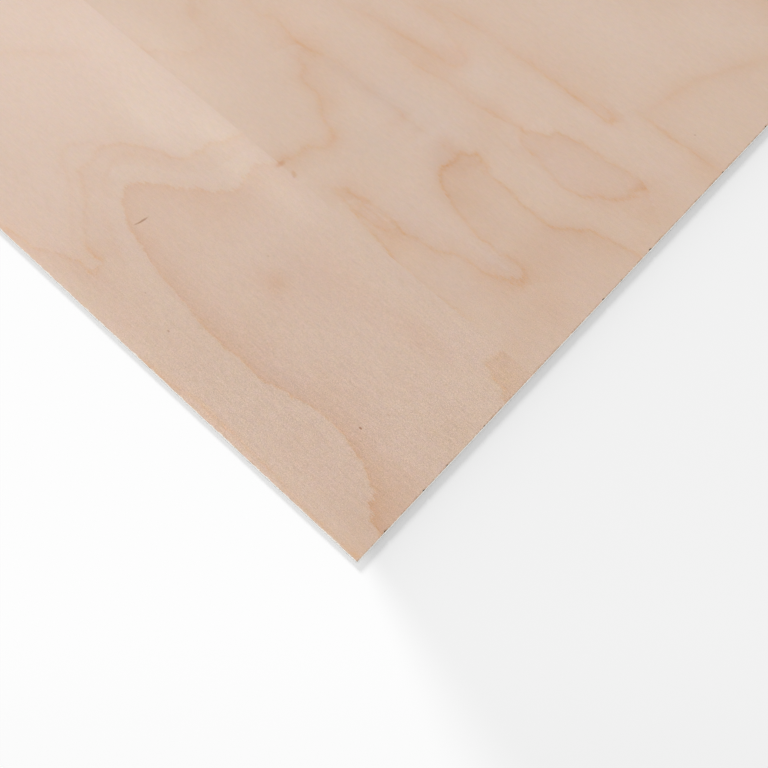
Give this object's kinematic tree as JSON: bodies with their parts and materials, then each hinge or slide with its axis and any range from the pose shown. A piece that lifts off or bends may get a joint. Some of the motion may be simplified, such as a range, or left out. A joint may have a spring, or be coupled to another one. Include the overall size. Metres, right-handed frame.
{
  "type": "flexible wood veneer sheet",
  "caption": "Thin flat sheet of pale figured wood veneer, spliced side by side from leaves and bonded to a paper backing, to be glued onto a board or wrapped round a curve.",
  "frame": {"origin": "middle of the sheet's back, on the surface it rests on", "axes": "+X along the grain, +Y across it from the narrower leaf to the wider one, +Z from the paper up to the wood"},
  "size_m": [0.6, 0.3, 0.0007],
  "materials": {
    "backing_paper": "matt",
    "edge_leaf_wood": "unfinished, fine sanded",
    "main_leaf_wood": "unfinished, fine sanded"
  },
  "bodies": {
    "root": {"paper_backing": "backing_paper", "edge_leaf": "edge_leaf_wood", "main_leaf": "main_leaf_wood"}
  },
  "joints": []
}
